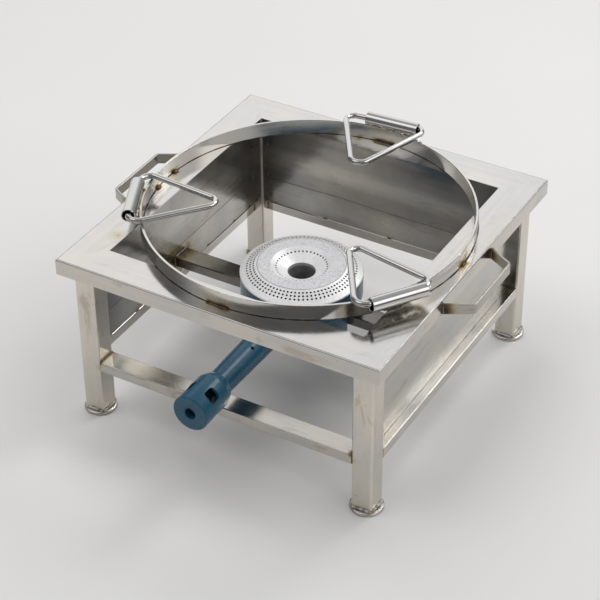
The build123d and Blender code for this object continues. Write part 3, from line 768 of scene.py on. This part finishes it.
def blob_into(bm, c, r, seed, squash=(1, 1, 1)):
    """A small ball of spatter or a tack."""
    made = bmesh.ops.create_icosphere(bm, subdivisions=2, radius=1.0)
    for v in made["verts"]:
        d = v.co.copy()
        k = 1 + 0.28 * noise.noise(d * 1.7 + Vector((seed, 0, 0)))
        v.co = Vector(c) + Vector((d.x * squash[0], d.y * squash[1], d.z * squash[2])) * r * k


def beads(name, runs, body="frame", key="weld"):
    bm = bmesh.new()
    for i, run in enumerate(runs):
        if run[0] == "blob":
            blob_into(bm, run[1], run[2], run[3], *(run[4:5]))
        else:
            pts, r, seed = run[:3]
            bead_into(bm, pts, r, seed, **(run[3] if len(run) > 3 else {}))
    return add_piece(name, bm, key, body)


def arc(a0, a1, r, z, n=12):
    return [Vector(on_ring(a0 + (a1 - a0) * i / n, r, z)) for i in range(n + 1)]


# --- feet: dished discs with a rolled rim, and the weld round each leg
def foot(name, sx, sy, seed):
    bm = bmesh.new()
    cx, cy = sx * 0.174, MY + sy * 0.179
    prof = [(0.0, 0.0), (0.0150, 0.0), (0.0176, 0.0003), (0.0188, 0.0010), (0.0193, 0.0020), (0.0190, 0.0031),
            (0.0181, 0.0038), (0.0170, 0.0040), (0.0155, 0.0038), (0.0120, 0.0036), (0.0, 0.0036)]
    seg = 56
    rings = []
    for r, z in prof:
        if r == 0.0:
            rings.append([bm.verts.new((cx, cy, z))])
            continue
        ring = []
        for k in range(seg):
            a = 2 * pi * k / seg
            w = noise.noise(Vector((cos(a) * 1.3 + seed, sin(a) * 1.3, z * 90)))
            rr = min(r * (1 + 0.022 * w), 0.0193)
            zz = z if z < 0.0005 else min(0.0042, max(0.0, z + 0.00035 * w))
            ring.append(bm.verts.new((cx + rr * cos(a), cy + rr * sin(a), zz)))
        rings.append(ring)
    for A, B in zip(rings[:-1], rings[1:]):
        for k in range(seg):
            j = (k + 1) % seg
            if len(A) == 1:
                bm.faces.new((A[0], B[j], B[k]))
            elif len(B) == 1:
                bm.faces.new((A[k], A[j], B[0]))
            else:
                bm.faces.new((A[k], A[j], B[j], B[k]))
    o = add_piece(name + "_disc", bm, "foot", "frame")
    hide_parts(name)
    h, c = 0.0127, 0.0030
    pts = []
    for qx, qy, a0 in ((1, -1, -90), (1, 1, 0), (-1, 1, 90), (-1, -1, 180)):
        for i in range(4):
            a = radians(a0 + 30 * i)
            pts.append(Vector((cx + qx * (h - c) + (c + 0.0006) * cos(a), cy + qy * (h - c) + (c + 0.0006) * sin(a), 0.0049)))
    pts.append(pts[0])
    beads("weld_" + name, [(pts, 0.0014, seed, {"closed": True, "ripple": 0.0022})], key="weld_bright")


for i, (ny, sy) in enumerate((("front", -1), ("back", 1))):
    for j, (nx, sx) in enumerate((("left", -1), ("right", 1))):
        foot(f"foot_{ny}_{nx}", sx, sy, 3 + 5 * i + 2 * j)

# --- rails to legs
runs = []
for sx in (-1, 1):
    x = sx * 0.1611
    runs.append(([(x, MY - 0.1662, 0.0755), (x, MY - 0.1908, 0.0755)], 0.0013, 21 + sx))
    runs.append(([(x, MY - 0.1663, 0.0748), (x, MY - 0.1663, 0.0634)], 0.0011, 24 + sx))
    top = 0.0816 if sx < 0 else 0.0764
    for sy in (-1, 1):
        y = MY + sy * 0.1661
        runs.append(([(sx * 0.1862, y, top + 0.0001), (sx * 0.1745, y, top + 0.0001)], 0.0011, 31 + sx + 3 * sy))
        runs.append(([(sx * 0.1739, y, top - 0.001), (sx * 0.1739, y, top - 0.0118)], 0.0010, 37 + sx + 3 * sy))
    runs.append(([(x, MY + 0.1800, 0.0817), (x, MY + 0.1910, 0.0817)], 0.0011, 45 + sx))
    runs.append(([(x, MY + 0.1789, 0.0808), (x, MY + 0.1789, 0.0700)], 0.0010, 48 + sx))
beads("weld_rails", runs)

# --- crossbar ends on the side panels
runs = []
for s in (-1, 1):
    x = s * 0.1745
    runs.append(([(x, MY - 0.0122, 0.1068), (x, MY + 0.0122, 0.1068)], 0.0014, 61 + s))
    runs.append(([(x, MY - 0.0130, 0.1060), (x, MY - 0.0130, 0.0945)], 0.0013, 64 + s))
    runs.append(([(x, MY + 0.0130, 0.1060), (x, MY + 0.0130, 0.0945)], 0.0013, 67 + s))
beads("weld_crossbar", runs)

# --- panels: tacks along the rails and down the legs
runs = []
for s in (-1, 1):
    top = 0.0816 if s < 0 else 0.0764
    for k, y in enumerate((-0.150, -0.095, -0.020, 0.060, 0.120, 0.158)):
        runs.append(([(s * 0.1746, MY + y - 0.003, top + 0.0002), (s * 0.1746, MY + y + 0.003, top + 0.0002)], 0.0010, 70 + k + 9 * s))
for k, x in enumerate((-0.150, -0.080, 0.010, 0.090, 0.150)):
    runs.append(([(x - 0.003, MY + 0.1796, 0.0818), (x + 0.003, MY + 0.1796, 0.0818)], 0.0010, 95 + k))
for sx in (-1, 1):
    for k, z in enumerate((0.120, 0.165, 0.200)):
        for sy in (-1, 1):
            runs.append(([(sx * 0.1746, MY + sy * 0.1661, z - 0.003), (sx * 0.1746, MY + sy * 0.1661, z + 0.003)], 0.0009, 110 + k + 4 * sx + 9 * sy))
        runs.append(([(sx * 0.1611, MY + 0.1797, z - 0.003), (sx * 0.1611, MY + 0.1797, z + 0.003)], 0.0009, 140 + k + 4 * sx))
beads("weld_panels", runs)

# --- handle roots
runs = []
for s in (-1, 1):
    for e in (-1, 1):
        y = MY - 0.0032 + e * 0.0612
        runs.append(([(s * 0.2007, y, 0.1934), (s * 0.2007, y, 0.2052)], 0.0013, 160 + s + 3 * e))
        runs.append(([(s * 0.2010, y - e * 0.0042, 0.1934), (s * 0.2010, y - e * 0.0042, 0.2052)], 0.0011, 170 + s + 3 * e))
beads("weld_handles", runs)

# --- ring to deck
runs = [
    (arc(-94.6, -87.0, 0.1890, 0.2122), 0.0010, 201, {"squash": 0.8}),
    (arc(0.8, 3.0, 0.1891, 0.2124), 0.0012, 202),
    (arc(87.4, 95.0, 0.1826, 0.2124), 0.0031, 203, {"squash": 0.45, "ripple": 0.0030}),
    ("blob", on_ring(176.8, 0.1843, 0.2128), 0.0026, 5, (1.0, 1.5, 0.6)),
    ("blob", on_ring(188.6, 0.1842, 0.2128), 0.0027, 6, (1.0, 1.6, 0.6)),
    (arc(205.0, 212.0, 0.1893, 0.2127), 0.0013, 207),
    (arc(-36.0, -29.0, 0.1893, 0.2127), 0.0013, 208),
    (arc(55.0, 60.0, 0.1893, 0.2127), 0.0012, 209),
]
beads("weld_ring", runs)

# --- sleeves to ring: beads along the ring's top edge, inside and out
SLEEVES = {"left": (206.5, 0.1965, 0.2326, -1.7), "back": (89.6, 0.1964, 0.2335, 4.1), "right": (-32.25, 0.1989, 0.23205, -2.2)}
for key, (a, rad, sz, yaw) in SLEEVES.items():
    e = Vector((cos(radians(a)), sin(radians(a)), 0))
    ta = radians(a + yaw)
    t = Vector((-sin(ta), cos(ta), 0))
    side = Vector((-cos(ta), -sin(ta), 0))          # towards the ring's middle
    mid = RC + e * rad + Vector((0, 0, sz))
    sd = int(a) % 97
    runs = []

    def on_sleeve(u, deg, lift=0.0):
        """a point on the sleeve's skin: 0 faces the ring's middle, -90 points down"""
        q = radians(deg)
        return mid + t * u + (side * cos(q) + Vector((0, 0, sin(q)))) * (0.0080 + lift)
    # where the ring's top edge meets the sleeve: ragged beads in short runs
    for n, (u0, u1) in enumerate(((-0.030, -0.017), (-0.015, -0.003), (-0.001, 0.012), (0.014, 0.029))):
        pts = []
        for i in range(7):
            u = u0 + (u1 - u0) * i / 6
            p = on_sleeve(u, -30 + 7 * noise.noise(Vector((u * 160, sd, 1))), 0.0009)
            pts.append(p)
        runs.append((pts, 0.0020 + 0.0003 * noise.noise(Vector((n * 3.1, sd, 7))), sd + n, {"ripple": 0.0021, "squash": 0.9}))
        low = []
        for i in range(7):
            u = u0 + (u1 - u0) * i / 6
            p = on_sleeve(u, -100, 0.0)
            r = hypot(p.x - RC.x, p.y - RC.y)
            k = 0.1896 / r
            low.append(Vector((RC.x + (p.x - RC.x) * k, RC.y + (p.y - RC.y) * k, 0.2246 + 0.0004 * noise.noise(Vector((u * 200, sd, 3))))))
        runs.append((low, 0.0015, sd + 40 + n, {"ripple": 0.0024}))
    rnd = random.Random(sd)
    for n in range(16):
        u = rnd.uniform(-0.029, 0.029)
        runs.append(("blob", on_sleeve(u, rnd.uniform(-55, -12), 0.0012), rnd.uniform(0.0008, 0.0016), n + sd))
    beads("weld_sleeve_" + key, runs, key="weld_bright")

# --- spatter where the legs meet the skirt and on the deck
runs = []
rnd = random.Random(11)
for sx in (-1, 1):
    for sy in (-1, 1):
        for k in range(4):
            x = sx * 0.174 + rnd.uniform(-0.012, 0.012)
            runs.append(("blob", (x, MY + sy * 0.1917, 0.1895 + rnd.uniform(-0.001, 0.002)), rnd.uniform(0.0005, 0.0009), k))
            y = MY + sy * 0.179 + rnd.uniform(-0.012, 0.012)
            runs.append(("blob", (sx * 0.1867, y, 0.1895 + rnd.uniform(-0.001, 0.002)), rnd.uniform(0.0005, 0.0009), k + 5))
for x, y, r in ((160, -160, 0.9), (157.5, -163.5, 0.7), (163, -157, 0.8), (165.5, -163, 0.6), (161.5, -165.5, 0.6)):
    runs.append(("blob", D(x, y, 212.1), r / 1000, int(x), (1.2, 1.0, 0.5)))
beads("weld_spatter", runs)


# =====================================================================
# floor and light
# =====================================================================
def floor():
    bm = bmesh.new()
    bmesh.ops.create_grid(bm, x_segments=1, y_segments=1, size=7.0)
    me = bpy.data.meshes.new("floor")
    bm.to_mesh(me)
    bm.free()
    o = bpy.data.objects.new("floor", me)
    COL.objects.link(o)
    g = Graph("floor_paper")
    cloud = g.noise(2.2, 2, 0.5)
    g.set(Base_Color=g.ramp(cloud, [(0.3, (0.800, 0.792, 0.788)), (0.7, (0.820, 0.812, 0.808))]),
          Roughness=0.75, Specular_IOR_Level=0.25)
    me.materials.append(g.mat)


floor()


def area(name, place, aim, w, h, power, colour=(1, 1, 1)):
    d = bpy.data.lights.new(name, "AREA")
    d.shape, d.size, d.size_y, d.energy, d.color = "RECTANGLE", w, h, power, colour
    o = bpy.data.objects.new(name, d)
    COL.objects.link(o)
    o.location = place
    o.rotation_mode = "QUATERNION"
    o.rotation_quaternion = (Vector(aim) - Vector(place)).to_track_quat("-Z", "Y")
    return o


def towards(azimuth, elevation):
    """Direction from the object: azimuth 0 is the front, 90 the right and 180 the back."""
    a, e = radians(azimuth), radians(elevation)
    return Vector((sin(a) * cos(e), -cos(a) * cos(e), sin(e)))


def softbox(name, azimuth, elevation, dist, w, h, radiance, colour=(1, 1, 1), mirrored=True):
    aim = Vector((0, 0.02, 0.15))
    o = area(name, aim + towards(azimuth, elevation) * dist, aim, w, h, radiance * pi * w * h, colour)
    o.visible_glossy = mirrored


softbox("overhead", 262, 76, 2.6, 2.6, 2.6, 1.08, (1.0, 0.996, 0.992), False)
softbox("key", 164, 46, 2.3, 0.72, 0.72, 6.0, (1.0, 0.998, 0.99))

world = bpy.data.worlds.new("studio")
bpy.context.scene.world = world
world.use_nodes = True
nt = world.node_tree
nt.nodes.clear()
wo = nt.nodes.new("ShaderNodeOutputWorld")
bg = nt.nodes.new("ShaderNodeBackground")
tc = nt.nodes.new("ShaderNodeTexCoord")
nt.links.new(bg.outputs[0], wo.inputs[0])


def wmath(op, a, b=0.0, clamp=False):
    n = nt.nodes.new("ShaderNodeMath")
    n.operation, n.use_clamp = op, clamp
    for sk, v in zip(n.inputs, (a, b)):
        if hasattr(v, "is_output"):
            nt.links.new(v, sk)
        else:
            sk.default_value = v
    return n.outputs[0]


def lobe(azimuth, elevation, outer, inner, amount):
    """A soft bright patch of sky: full to the inner angle, gone at the outer one, in degrees."""
    dot = nt.nodes.new("ShaderNodeVectorMath")
    dot.operation = "DOT_PRODUCT"
    dot.inputs[1].default_value = towards(azimuth, elevation)
    nt.links.new(tc.outputs["Generated"], dot.inputs[0])
    r = nt.nodes.new("ShaderNodeMapRange")
    r.interpolation_type = "SMOOTHERSTEP"
    for sk, v in zip(r.inputs[1:5], (cos(radians(outer)), cos(radians(inner)), 0.0, amount)):
        sk.default_value = v
    nt.links.new(dot.outputs["Value"], r.inputs[0])
    return r.outputs[0]


level = 0.17
for item in ((216, 5, 46, 26, 0.80), (180, 75, 62, 20, 0.22), (310, 55, 25, 8, 1.05), (90, 38, 25, 6, 1.5), (180, 0, 100, 50, 0.12), (132, 34, 30, 12, 0.65)):
    level = wmath("ADD", level, lobe(*item))
nt.links.new(level, bg.inputs[1])
bg.inputs[0].default_value = (1.0, 1.0, 1.0, 1.0)

bpy.context.scene.view_settings.view_transform = "Standard"
bpy.context.scene.view_settings.look = "None"
